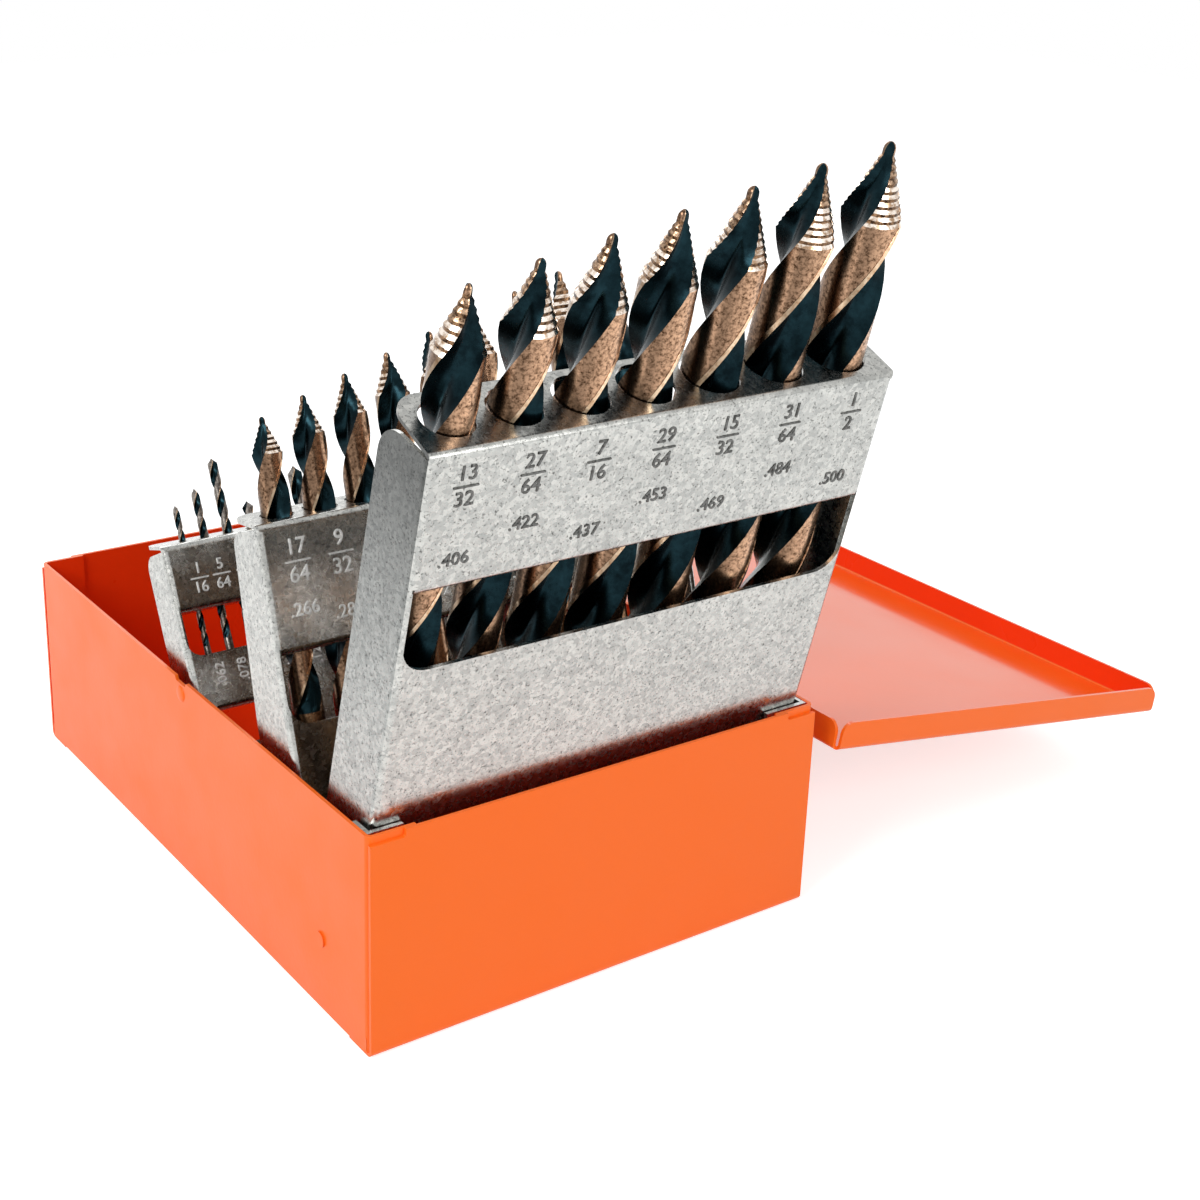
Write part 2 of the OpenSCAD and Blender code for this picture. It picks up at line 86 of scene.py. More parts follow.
# y and z place the pivot from the front and the bottom of the base, lean is in degrees to the
# back, n sets the pivot and bit_n the drills behind the face, and heights are over the pivot;
# depth is the flanges' depth at the top and low down, and the height where the low one ends
RACKS = {
    "front": dict(y=15.53, z=38, lean=-14.46, n=8.5, top=99.1, floor=6.6, win=(51.6, 69.4),
                  depth=(16.8, 17, 12), corner=6.7, margin=2.55, bit_n=9, bits=(26, 32)),
    "middle": dict(y=33.96, z=21.2, lean=17.3, n=7, top=78, floor=5.1, win=(35.4, 50.4),
                   depth=(12.4, 15.3, 35), corner=3.8, margin=3.9, bit_n=6.5, bits=(17, 25)),
    "rear": dict(y=69.97, z=7.2, lean=26.5, n=5.2, top=75.8, floor=2.1, win=(49.7, 60),
                 depth=(10.9, 11.2, 12), corner=3.7, margin=5.8, bit_n=5, bits=(4, 16)),
}
# ledges of the rear rack: height over the pivot, first and last drill on it in 64ths of an inch
LEDGES = [(37.2, 4, 6), (16.2, 7, 9)]
LEDGE_INSET = 2.8
LEDGE_DEPTH = 8.5

# ---- sizes of the looks alone ----
BEND_R = 1.5
PAINT_EDGE = 0.16
ZINC_EDGE = 0.12
# share of a shelf's depth taken up by its back corners' radius, and of a window's height by its
# lower corners' radius
CORNER_SHARE = 0.35
# gaps at the folded corners of the base and the lid
TAB_GAP = 0.6
FLOOR_GAP = 0.9
WALL_GAP = 0.15
LID_END_GAP = 1.2
# how far pieces that are fused run into each other, and how far a cutter runs past a face
FUSE = 0.02
PAST = 0.01


# ---- materials ----

def new_material(name):
    m = bpy.data.materials.new(name)
    m.use_nodes = True
    m.node_tree.nodes.clear()
    out = m.node_tree.nodes.new("ShaderNodeOutputMaterial")
    shader = m.node_tree.nodes.new("ShaderNodeBsdfPrincipled")
    m.node_tree.links.new(shader.outputs[0], out.inputs[0])
    return m, m.node_tree, shader


def node(tree, kind, **values):
    n = tree.nodes.new(kind)
    for key, value in values.items():
        if key in n.inputs:
            n.inputs[key].default_value = value
        else:
            setattr(n, key, value)
    return n


def object_coords(tree):
    return node(tree, "ShaderNodeTexCoord").outputs["Object"]


def noise(tree, vector, scale, detail=3.0, rough=0.5):
    n = node(tree, "ShaderNodeTexNoise", Scale=scale, Detail=detail, Roughness=rough)
    tree.links.new(vector, n.inputs["Vector"])
    return n.outputs["Fac"]


def ramp(tree, fac, stops):
    n = tree.nodes.new("ShaderNodeValToRGB")
    band = n.color_ramp
    while len(band.elements) < len(stops):
        band.elements.new(0.5)
    for e, (at, colour) in zip(band.elements, stops):
        e.position = at
        e.color = tuple(colour) + (1,)
    tree.links.new(fac, n.inputs["Fac"])
    return n.outputs["Color"]


def grey(v):
    return (v, v, v)


def set_colour(socket, colour):
    socket.default_value = tuple(colour) + (1,)


def bump(tree, shader, height, strength, distance):
    b = node(tree, "ShaderNodeBump", Strength=strength, Distance=distance)
    tree.links.new(height, b.inputs["Height"])
    tree.links.new(b.outputs["Normal"], shader.inputs["Normal"])


def enamel(name, colour, rough, ior, coat):
    """Sprayed paint with a faint orange peel."""
    m, tree, s = new_material(name)
    set_colour(s.inputs["Base Color"], colour)
    s.inputs["IOR"].default_value = ior
    s.inputs["Coat Weight"].default_value = coat
    s.inputs["Coat Roughness"].default_value = 0.1
    v = object_coords(tree)
    fine = noise(tree, v, 900, 2)
    bump(tree, s, fine, 0.1, 0.0002)
    wide = noise(tree, v, 60, 3)
    tree.links.new(ramp(tree, wide, [(0.3, grey(rough - 0.05)), (0.7, grey(rough + 0.07))]),
                   s.inputs["Roughness"])
    return m


def multiply(tree, a, b):
    mix = node(tree, "ShaderNodeMix", data_type="RGBA", blend_type="MULTIPLY")
    mix.inputs["Factor"].default_value = 1.0
    tree.links.new(a, mix.inputs["A"])
    tree.links.new(b, mix.inputs["B"])
    return mix.outputs["Result"]


def zinc(name, light, dark, rough, speck=0.35, metallic=1.0):
    """Plated sheet: fine spangle, small dark specks and faint clouds."""
    m, tree, s = new_material(name)
    s.inputs["Metallic"].default_value = metallic
    v = object_coords(tree)
    cells = node(tree, "ShaderNodeTexVoronoi", Scale=1100.0)
    tree.links.new(v, cells.inputs["Vector"])
    spangle = node(tree, "ShaderNodeSeparateColor")
    tree.links.new(cells.outputs["Color"], spangle.inputs[0])
    spots = noise(tree, v, 1700, 4, 0.7)
    patches = noise(tree, v, 80, 4, 0.6)
    base = ramp(tree, spangle.outputs[0], [(0.0, dark), (1.0, light)])
    blot = ramp(tree, spots, [(speck - 0.05, grey(0.25)), (speck + 0.05, grey(1))])
    cloud = ramp(tree, patches, [(0.3, grey(0.88)), (0.7, grey(1))])
    tree.links.new(multiply(tree, multiply(tree, base, blot), cloud), s.inputs["Base Color"])
    tree.links.new(ramp(tree, spangle.outputs[1], [(0, grey(rough)), (1, grey(rough + 0.1))]),
                   s.inputs["Roughness"])
    bump(tree, s, spots, 0.2, 0.0001)
    return m


def flange_zinc_painted_reflection(name, light, dark, z0, z1, end):
    """Plated sheet of the tall flanges, darkening from height z0 to the share end at z1, a painted
    dark reflection on their upper part.
    """
    m = zinc(name, light, dark, 0.22, 0.4)
    tree = m.node_tree
    s = [n for n in tree.nodes if n.type == "BSDF_PRINCIPLED"][0]
    plain = s.inputs["Base Color"].links[0].from_socket
    split = node(tree, "ShaderNodeSeparateXYZ")
    tree.links.new(object_coords(tree), split.inputs[0])
    height = node(tree, "ShaderNodeMapRange")
    height.inputs["From Min"].default_value = z0 * MM
    height.inputs["From Max"].default_value = z1 * MM
    height.inputs["To Min"].default_value = 1.0
    height.inputs["To Max"].default_value = end
    tree.links.new(split.outputs["Z"], height.inputs["Value"])
    tree.links.new(multiply(tree, plain, height.outputs[0]), s.inputs["Base Color"])
    return m


# painted reflection: share of the land's colour round a drill, from its right-hand side, in dark and
# bright bands, repeating on the back
REFLECTION_BANDS = [(0.0, 0.3), (0.1, 0.26), (0.17, 0.5), (0.2, 0.62), (0.24, 0.34), (0.3, 0.36),
           (0.4, 0.66), (0.55, 0.95), (0.68, 1.0), (0.78, 0.8), (0.86, 0.36), (1.0, 0.3)]


def painted_reflection_bands(tree):
    """Long painted bright and dark reflection bands along a drill, from the angle in its UV map."""
    coords = node(tree, "ShaderNodeTexCoord")
    split = node(tree, "ShaderNodeSeparateXYZ")
    tree.links.new(coords.outputs["UV"], split.inputs[0])
    wrapped = node(tree, "ShaderNodeMath", operation="FRACT")
    tree.links.new(split.outputs["X"], wrapped.inputs[0])
    return ramp(tree, wrapped.outputs[0], [(a, grey(b)) for a, b in REFLECTION_BANDS])


def oxide(name, low, high, rough, scale, spread=(0.35, 0.7), reflection_banded=False):
    """Oxide-coated tool steel, mottled between the colours low and high; when asked for, painted
    reflection bands run along the drill.
    """
    m, tree, s = new_material(name)
    s.inputs["Metallic"].default_value = 1.0
    v = object_coords(tree)
    mottled = noise(tree, v, scale, 5, 0.7)
    colour = ramp(tree, mottled, [(spread[0], low), (spread[1], high)])
    if reflection_banded:
        colour = multiply(tree, colour, painted_reflection_bands(tree))
    tree.links.new(colour, s.inputs["Base Color"])
    tree.links.new(ramp(tree, mottled, [(0.3, grey(rough + 0.1)), (0.7, grey(rough))]),
                   s.inputs["Roughness"])
    bump(tree, s, mottled, 0.12, 0.00008)
    return m


ORANGE = enamel("orange_enamel", (0.9, 0.145, 0.01), 0.34, 1.28, 0.1)
LID_ORANGE = enamel("lid_enamel", (0.93, 0.125, 0.008), 0.2, 1.33, 0.72)
# a redder, darker copy of the paint for the faces inside the base and the lid: painted shade
ORANGE_PAINTED_SHADE = enamel("enamel_painted_shade", (0.95, 0.05, 0.004), 0.3, 1.25, 0.05)
ZINC = zinc("spangled_zinc", (0.56, 0.56, 0.53), (0.37, 0.375, 0.36), 0.2, 0.39)
# painted dark reflection on the upper part of the front rack's flanges
FLANGE_ZINC_PAINTED_REFLECTION = flange_zinc_painted_reflection("flange_zinc_painted_reflection", (0.47, 0.48, 0.46), (0.3, 0.31, 0.3), 70, 128, 0.27)
BRACKET_ZINC = zinc("bracket_zinc", (0.82, 0.82, 0.8), (0.6, 0.6, 0.58), 0.22, 0.36)
HINGE_STEEL = zinc("hinge_plating", (0.7, 0.69, 0.67), (0.55, 0.54, 0.53), 0.25, 0.3)
# the stamped figures are the sheet's own zinc, painted dark as shade on the front rack and light as
# highlight on the others
FIGURES_PAINTED_SHADE = zinc("figures_painted_shade", (0.17, 0.17, 0.165), (0.09, 0.09, 0.085), 0.3, 0.42)
FIGURES_PAINTED_LIGHT = zinc("figures_painted_light", (0.85, 0.85, 0.83), (0.6, 0.6, 0.58), 0.4, 0.36, 0.2)
# the lands, margins and shanks of the larger drills carry the painted reflection bands
BRONZE = oxide("bronze_land", (0.07, 0.03, 0.011), (0.66, 0.4, 0.25), 0.2, 1400, (0.34, 0.58), True)
# the polished margin strip, its lighter gold partly a painted highlight along the land's edge
MARGIN_POLISH_AND_HIGHLIGHT = oxide("margin_polish_and_highlight", (0.6, 0.36, 0.2), (0.95, 0.72, 0.5), 0.16, 900, (0.35, 0.6), True)
# copies of one ground steel for a point's steps: painted highlight, painted dim and, on the risers,
# painted shade
STEP_PAINTED_HIGHLIGHT = oxide("step_painted_highlight", (0.4, 0.26, 0.16), (1.0, 0.9, 0.8), 0.14, 700, (0.4, 0.55))
STEP_PAINTED_DIM = oxide("step_painted_dim", (0.05, 0.025, 0.012), (0.62, 0.42, 0.28), 0.18, 1100, (0.4, 0.62))
RISER_PAINTED_SHADE = oxide("riser_painted_shade", (0.02, 0.01, 0.006), (0.3, 0.17, 0.09), 0.24, 1200, (0.4, 0.65))
TEAL = oxide("dark_flute", (0.003, 0.007, 0.009), (0.01, 0.027, 0.034), 0.22, 220)
STEEL_LAND = oxide("grey_land", (0.05, 0.042, 0.038), (0.4, 0.36, 0.32), 0.25, 1200)
SHANK = oxide("shank", (0.07, 0.032, 0.012), (0.42, 0.24, 0.13), 0.22, 900, (0.35, 0.65), True)
SHANK_GREY = oxide("grey_shank", (0.05, 0.045, 0.04), (0.3, 0.27, 0.24), 0.28, 1200)


# ---- meshes ----

def make(name, verts, faces, materials, face_materials=None, smooth=False):
    mesh = bpy.data.meshes.new(name)
    mesh.from_pydata([(x * MM, y * MM, z * MM) for x, y, z in verts], [], faces)
    for m in materials:
        mesh.materials.append(m)
    if face_materials:
        mesh.polygons.foreach_set("material_index", face_materials)
    mesh.polygons.foreach_set("use_smooth", [smooth] * len(mesh.polygons))
    mesh.update()
    o = bpy.data.objects.new(name, mesh)
    bpy.context.scene.collection.objects.link(o)
    return o


def prism(outline, a, b, axis):
    """Solid from a 2D outline in the other two axes, between a and b along axis."""
    point = {"x": lambda p, t: (t, p[0], p[1]), "y": lambda p, t: (p[0], t, p[1]),
             "z": lambda p, t: (p[0], p[1], t)}[axis]
    n = len(outline)
    verts = [point(p, a) for p in outline] + [point(p, b) for p in outline]
    faces = [tuple(range(n)), tuple(range(2 * n - 1, n - 1, -1))]
    faces += [(i, i + n, (i + 1) % n + n, (i + 1) % n) for i in range(n)]
    o = make("solid", verts, faces, [])
    fix_normals(o)
    return o


def fix_normals(o):
    bm = bmesh.new()
    bm.from_mesh(o.data)
    bmesh.ops.recalc_face_normals(bm, faces=bm.faces)
    bm.to_mesh(o.data)
    bm.free()


def arc(cx, cy, r, a0, a1, steps=8):
    return [(cx + r * math.cos(math.radians(a0 + (a1 - a0) * i / steps)),
             cy + r * math.sin(math.radians(a0 + (a1 - a0) * i / steps)))
            for i in range(steps + 1)]


def rounded(x0, y0, x1, y1, radii=(0, 0, 0, 0), steps=8):
    """Rectangle with its own radius at each corner: low left, low right, high right, high left."""
    corners = [(x0, y0, 1, 1, 180), (x1, y0, -1, 1, 270), (x1, y1, -1, -1, 0), (x0, y1, 1, -1, 90)]
    outline = []
    for (x, y, sx, sy, a), r in zip(corners, radii):
        outline += arc(x + sx * r, y + sy * r, r, a, a + 90, steps) if r > 0 else [(x, y)]
    return outline


def strip(path, t):
    """Outline of a sheet of thickness t that follows path on its left-hand side."""
    inner = []
    for i, p in enumerate(path):
        a = Vector(path[max(i - 1, 0)])
        b = Vector(path[min(i + 1, len(path) - 1)])
        d = (b - a).normalized()
        if 0 < i < len(path) - 1:
            d1 = (Vector(p) - a).normalized()
            d2 = (b - Vector(p)).normalized()
            half = (d1 + d2).normalized()
            stretch = 1 / max(0.5, half.dot(d1))
            inner.append((p[0] - half.y * t * stretch, p[1] + half.x * t * stretch))
        else:
            inner.append((p[0] - d.y * t, p[1] + d.x * t))
    return list(path) + inner[::-1]


def apply(o, kind, **values):
    """Adds a modifier and applies it."""
    m = o.modifiers.new("step", kind)
    for key, value in values.items():
        setattr(m, key, value)
    dg = bpy.context.evaluated_depsgraph_get()
    mesh = bpy.data.meshes.new_from_object(o.evaluated_get(dg))
    o.modifiers.remove(m)
    old = o.data
    o.data = mesh
    bpy.data.meshes.remove(old)
    return o


def cut(o, *others, op="DIFFERENCE"):
    for other in others:
        bpy.context.view_layer.update()
        apply(o, "BOOLEAN", object=other, operation=op, solver="EXACT")
        bpy.data.objects.remove(other)
    return o


def add(o, *others):
    return cut(o, *others, op="UNION")


def finish_sheet(o, name, material, body, replaced, edge):
    apply(o, "BEVEL", width=edge * MM, segments=2, limit_method="ANGLE",
          angle_limit=math.radians(38), harden_normals=False)
    o.name = name
    o.data.name = name
    o.data.materials.clear()
    o.data.materials.append(material)
    shade(o, 32)
    apply(o, "WEIGHTED_NORMAL", keep_sharp=True, weight=100)
    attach(o, body)
    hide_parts(*replaced)


def shade(o, angle):
    """Smooth shading, with edges over the angle in degrees kept sharp."""
    o.data.polygons.foreach_set("use_smooth", [True] * len(o.data.polygons))
    o.data.set_sharp_from_angle(angle=math.radians(angle))


def place(o, matrix):
    o.data.transform(matrix)
    return o


def other_material(o, material, wanted):
    """Gives the faces that wanted(centre in mm, normal) picks another material."""
    o.data.materials.append(material)
    for p in o.data.polygons:
        if wanted(p.center / MM, p.normal):
            p.material_index = len(o.data.materials) - 1


# ---- base ----

def base_box():
    hw = CASE_W / 2
    hl = CASE_L / 2
    r = BEND_R
    # both long walls with the corner tabs they fold into, seen from above
    shell = None
    for s in (-1, 1):
        a = arc(s * (hw - r), -hl + SHEET + r, r, 270, 180 if s < 0 else 360, 6)
        b = arc(s * (hw - r), hl - SHEET - r, r, 180 if s < 0 else 0, 90, 6)
        path = [(s * (hw - TAB_W), -hl + SHEET)] + a + b + [(s * (hw - TAB_W), hl - SHEET)]
        side = prism(strip(path, s * SHEET), TAB_GAP, CASE_H, "z")
        shell = side if shell is None else add(shell, side)
    # the floor and the bends up to the long walls
    path = [(-hw, 4)] + arc(-hw + r, r, r, 180, 270) + arc(hw - r, r, r, 270, 360) + [(hw, 4)]
    add(shell, prism(strip(path, SHEET), -hl + SHEET + FLOOR_GAP, hl - SHEET - FLOOR_GAP, "y"))
    # end walls, bent up from the floor
    for s in (-1, 1):
        bend = arc(s * (hl - r), r, r, 270, 180 if s < 0 else 360)
        path = [(s * (hl - 9), 0)] + bend + [(s * hl, CASE_H)]
        wall = prism(strip(path, s * SHEET), -hw + WALL_GAP, hw - WALL_GAP, "x")
        for e in (-1, 1):
            x0, x1 = sorted((e * (hw + 1), e * (hw - NOTCH_L)))
            notch = rounded(x0, CASE_H - NOTCH_D, x1, CASE_H + 2, (0.6, 0.6, 0, 0), 4)
            cut(wall, prism(notch, s * hl - 2, s * hl + 2, "y"))
        add(shell, wall)
    # the dip over the catch
    dip = prism([(-CATCH_W / 2 - 1, CASE_H + 1), (-CATCH_W / 2, CASE_H - CATCH_DIP),
                 (CATCH_W / 2, CASE_H - CATCH_DIP), (CATCH_W / 2 + 1, CASE_H + 1)],
                -hw - 2, -hw + 2, "x")
    cut(shell, dip)
    finish_sheet(shell, "base_shell", ORANGE, "base", ["base_box"], PAINT_EDGE)
    # the walls' inner faces and the floor, in a redder, darker copy of the paint that is painted
    # shade
    other_material(shell, ORANGE_PAINTED_SHADE,
                   lambda c, n: c.x * n.x + c.y * n.y < -8 or n.z > 0.9 and c.z < 4)


def catch_bump():
    o = dome(CATCH_R, CATCH_H, 20)
    outward = Matrix.Rotation(math.radians(-90), 4, "Y")
    place(o, Matrix.Translation(Vector((-CASE_W / 2, 0, CATCH_Z)) * MM) @ outward)
    o.name = "catch_bump"
    o.data.materials.append(ORANGE)
    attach(o, "base")


def dome(r, h, steps, rows=6):
    """Low round dome on z = 0, its rim sunk a little."""
    verts = [(0, 0, h)]
    for i in range(1, rows + 1):
        t = math.pi / 2 * i / rows
        for k in range(steps):
            a = 2 * math.pi * k / steps
            verts.append((r * math.sin(t) * math.cos(a), r * math.sin(t) * math.sin(a),
                          h * math.cos(t) - (0.05 if i == rows else 0)))
    faces = [(0, 1 + k, 1 + (k + 1) % steps) for k in range(steps)]
    for i in range(rows - 1):
        for k in range(steps):
            a = 1 + i * steps
            faces.append((a + k, a + k + steps, a + (k + 1) % steps + steps, a + (k + 1) % steps))
    return make("dome", verts, faces, [], smooth=True)


# ---- lid, drawn closed ----

def open_lid():
    """Turns the closed lid to where it hangs in the photograph."""
    to = Matrix.Translation(Vector((HINGE_X, 0, HINGE_Z)) * MM)
    return to @ Matrix.Rotation(math.radians(LID_OPEN), 4, "Y") @ to.inverted()


def lid():
    over = LID_GAP + SHEET
    hw = CASE_W / 2 + over
    hl = CASE_L / 2 + over
    top = CASE_H + over
    low = top - LID_DEPTH
    r = BEND_R
    path = [(hw, low)] + arc(hw - r, top - r, r, 0, 90) + arc(-hw + r, top - r, r, 90, 180)
    path += [(-hw, low)]
    ey = hl - LID_END_GAP
    ex = hw - LID_END_GAP
    corners = (LID_CORNER_R, LID_CORNER_R, 0, 0)
    shell = prism(strip(path, SHEET), -ey, ey, "y")
    cut(shell, prism(rounded(-ey, low, ey, top + 1, corners), -hw - 2, hw + 2, "x"), op="INTERSECT")
    for s in (-1, 1):
        bend = arc(s * (hl - r), top - r, r, 90, 180 if s < 0 else 0)
        path = [(s * (hl - 6), top)] + bend + [(s * hl, low)]
        end = prism(strip(path, -s * SHEET), -ex, ex, "x")
        keep = prism(rounded(-ex, low, ex, top + 1, corners), s * hl - 8, s * hl + 8, "y")
        cut(end, keep, op="INTERSECT")
        add(shell, end)
    place(shell, open_lid())
    finish_sheet(shell, "lid_shell", ORANGE, "lid", ["lid"], PAINT_EDGE)
    # the flanges' inner faces, in the darker copy of the paint that is painted shade, then all that
    # faces up, which mirrors more
    middle = open_lid() @ (Vector((0, 0, top)) * MM) / MM
    other_material(shell, ORANGE_PAINTED_SHADE,
                   lambda c, n: (c - middle).dot(n) < -30 and abs(n.z) < 0.6)
    other_material(shell, LID_ORANGE, lambda c, n: n.z > 0.9)


# ---- racks, drawn with the pivot as origin ----

def rack_matrix(r):
    """From a rack's own frame, pivot as origin and face to the front, to where it stands."""
    return (Matrix.Translation(Vector((0, -CASE_L / 2 + r["y"], r["z"])) * MM)
            @ Matrix.Rotation(math.radians(-r["lean"]), 4, "X"))


# in all that follows, n is a drill's size in 64ths of an inch

def bit_d(n):
    return n / 64 * INCH


def bit_length(n):
    return (JOBBER[n - 4] if n < 16 else 2 + n / 8) * INCH


def bit_name(n):
    g = math.gcd(n, 64)
    return f"{n // g}_{64 // g}"


def bit_x(n, r):
    """A drill's place along its rack, with equal gaps between the drills."""
    first, last = r["bits"]
    total = sum(bit_d(k) for k in range(first, last + 1))
    space = (RACK_IN - 2 * r["margin"] - total) / (last - first)
    before = sum(bit_d(k) for k in range(first, n))
    return -RACK_IN / 2 + r["margin"] + before + (n - first) * space + bit_d(n) / 2


def bit_seat(n, r):
    """Height of the ledge or floor that a drill stands on."""
    for z, first, last in LEDGES:
        if first <= n <= last:
            return z
    return -r["floor"]


def flange_top(r):
    return r["top"] - RACK_T - SHELF_GAP


def depth_at(r, z):
    """Depth of the flanges at height z."""
    top, low, taper = r["depth"]
    if z < taper:
        return low
    return low + (top - low) * (z - taper) / (flange_top(r) - r["corner"] - taper)


def bit_hole(n, r, z0, z1):
    disc = arc(bit_x(n, r), r["bit_n"] - r["n"], bit_d(n) / 2 + HOLE_FIT, 0, 360, 40)[:-1]
    return prism(disc, z0, z1, "z")


def folded_shelf(r, x0, x1, low, depth, holes):
    """Shelf whose lower face is at low, with the bend that joins it to the face above it."""
    y0 = -r["n"]
    bend = arc(y0 + BEND_R, low + BEND_R, BEND_R, 180, 270, 6)
    path = [(y0, low + BEND_R + FUSE)] + bend + [(y0 + depth, low)]
    shelf = prism(strip(path, RACK_T), x0, x1, "x")
    corner = depth * CORNER_SHARE
    keep = prism(rounded(x0, y0 - 1, x1, y0 + depth, (0, 0, corner, corner)), low - 3, low + 4, "z")
    cut(shelf, keep, op="INTERSECT")
    for n in holes:
        cut(shelf, bit_hole(n, r, low - 4, low + 4))
    return shelf


def bend_start(r):
    """Height at which the bend up to the tilted top shelf leaves the face."""
    t = math.radians(SHELF_TILT)
    return r["top"] - BEND_R * (math.cos(t) - (1 - math.sin(t)) * math.tan(t))


def top_shelf(r, holes):
    """Top shelf, rising to the back, with its bend up from the face."""
    y0 = -r["n"]
    hw = RACK_W / 2
    depth = r["depth"][0]
    t = math.radians(SHELF_TILT)
    z0 = bend_start(r)
    back = y0 + depth * math.cos(t)
    path = [(y0, z0 - FUSE)] + arc(y0 + BEND_R, z0, BEND_R, 180, 90 + SHELF_TILT, 6)
    path += [(back, r["top"] + depth * math.sin(t))]
    shelf = prism(strip(path, -RACK_T), -hw, hw, "x")
    corner = depth * CORNER_SHARE
    keep = prism(rounded(-hw, y0 - PAST, hw, back, (0.9, 0.9, corner, corner)),
                 r["top"] - 5, r["top"] + 5, "z")
    cut(shelf, keep, op="INTERSECT")
    for n in holes:
        cut(shelf, bit_hole(n, r, r["top"] - 4, r["top"] + 5))
    return shelf


def flange_profile(r):
    """Side view of the flanges."""
    y0 = -r["n"]
    top_depth, low_depth, taper = r["depth"]
    c = r["corner"]
    high = flange_top(r)
    bottom = -r["floor"] - RACK_T
    ty = y0 + top_depth
    ly = y0 + low_depth
    return ([(y0 - 1, bottom), (ly - FOOT_R, bottom)]
            + arc(ly - FOOT_R, bottom + FOOT_R, FOOT_R, 270, 360)
            + [(ly, taper)] + arc(ty - c, high - c, c, 0, 90, 12) + [(y0 - 1, high)])


def rack(key):
    r = RACKS[key]
    y0 = -r["n"]
    hw = RACK_W / 2
    bottom = -r["floor"] - RACK_T
    deep = max(r["depth"][:2])
    b = BEND_R
    path = [(-hw, y0 + deep + 1)] + arc(-hw + b, y0 + b, b, 180, 270, 6)
    path += arc(hw - b, y0 + b, b, 270, 360, 6) + [(hw, y0 + deep + 1)]
    shell = prism(strip(path, RACK_T), bottom, r["top"], "z")
    cut(shell, prism(flange_profile(r), -hw - 1, hw + 1, "x"), op="INTERSECT")
    lo, hi = r["win"]
    wx = hw - RACK_T
    wr = (hi - lo) * CORNER_SHARE

    def through_face(outline):
        return prism(outline, y0 - 1, y0 + RACK_T + PAST, "y")

    # window, and the strips of the face that the shelves' bends take up
    cut(shell, through_face(rounded(-wx, lo, wx, hi + b, (wr, wr, 0, 0))),
        through_face(rounded(-hw - 1, bend_start(r), hw + 1, r["top"] + 1)),
        through_face(rounded(-hw + b, bottom - 1, hw - b, bottom + b)))
    first, last = r["bits"]
    bits = range(first, last + 1)
    x1 = RACK_IN / 2 - SHELF_GAP
    # a bottom shelf close to the pivot is shorter, to pass the studs' heads
    x2 = x1 - STUD_HEAD_GAP if r["floor"] < STUD_D else x1
    if key == "rear":
        for z, a, c in LEDGES:
            xa = bit_x(a, r) - LEDGE_INSET
            xb = bit_x(c, r) + LEDGE_INSET
            low = z - RACK_T
            cut(shell, through_face(rounded(xa, low - LEDGE_DEPTH, xb, low + b, (2, 2, 0, 0))))
            add(shell, folded_shelf(r, xa, xb, low, LEDGE_DEPTH, []))
    add(shell, top_shelf(r, bits))
    add(shell, folded_shelf(r, -x1, x1, hi, depth_at(r, hi), bits))
    add(shell, folded_shelf(r, -x2, x2, bottom, r["depth"][1] - FOOT_R, []))
    for s in (-1, 1):
        disc = arc(0, 0, STUD_D / 2 + STUD_FIT, 0, 360, 40)[:-1]
        cut(shell, prism(disc, s * hw - 2, s * hw + 2, "x"))
    place(shell, rack_matrix(r))
    finish_sheet(shell, key + "_rack_sheet", ZINC, key + "_rack", [key + "_rack"],
                 ZINC_EDGE)
    if key == "front":
        # the front rack's flanges take the painted dark reflection towards their top
        other_material(shell, FLANGE_ZINC_PAINTED_REFLECTION, lambda c, n: abs(n.x) > 0.9)


# ---- stamped sizes ----

# the figures' middle before the face, half their thickness, their rounded edge, and how much
# the font is thinned
FIGURE_OUT = 0.02
FIGURE_HALF = 0.08
FIGURE_EDGE = 0.09
FIGURE_THIN = 0.01
# how far a fraction's figures stand over and under its bar, as a share of their size, which is
# also half the bar's length, and half the bar's height
FRACTION_HALF = 0.62
BAR_HALF = 0.2


def stamp(text, size, x, z, r, material, turn=0):
    """Raised figures on a rack's face, centred on (x, z)."""
    curve = bpy.data.curves.new("figure", "FONT")
    curve.body = text
    curve.size = size * MM
    curve.align_x = "CENTER"
    curve.align_y = "CENTER"
    curve.offset = -FIGURE_THIN * MM * size
    curve.extrude = FIGURE_HALF * MM
    curve.bevel_depth = FIGURE_EDGE * MM
    curve.bevel_resolution = 1
    curve.resolution_u = 3
    o = bpy.data.objects.new("figure", curve)
    bpy.context.scene.collection.objects.link(o)
    bpy.context.view_layer.update()
    mesh = bpy.data.meshes.new_from_object(o.evaluated_get(bpy.context.evaluated_depsgraph_get()))
    bpy.data.objects.remove(o)
    bpy.data.curves.remove(curve)
    piece = bpy.data.objects.new("figure", mesh)
    bpy.context.scene.collection.objects.link(piece)
    lift = Matrix.Translation(Vector((x, -r["n"] - FIGURE_OUT, z)) * MM)
    upright = Matrix.Rotation(math.radians(90), 4, "X") @ Matrix.Rotation(math.radians(turn), 4, "Z")
    place(piece, rack_matrix(r) @ lift @ upright)
    piece.data.materials.clear()
    piece.data.materials.append(material)
    return piece


def join(pieces, name):
    with bpy.context.temp_override(active_object=pieces[0], selected_editable_objects=pieces):
        bpy.ops.object.join()
    pieces[0].name = name
    pieces[0].data.name = name
    return pieces[0]


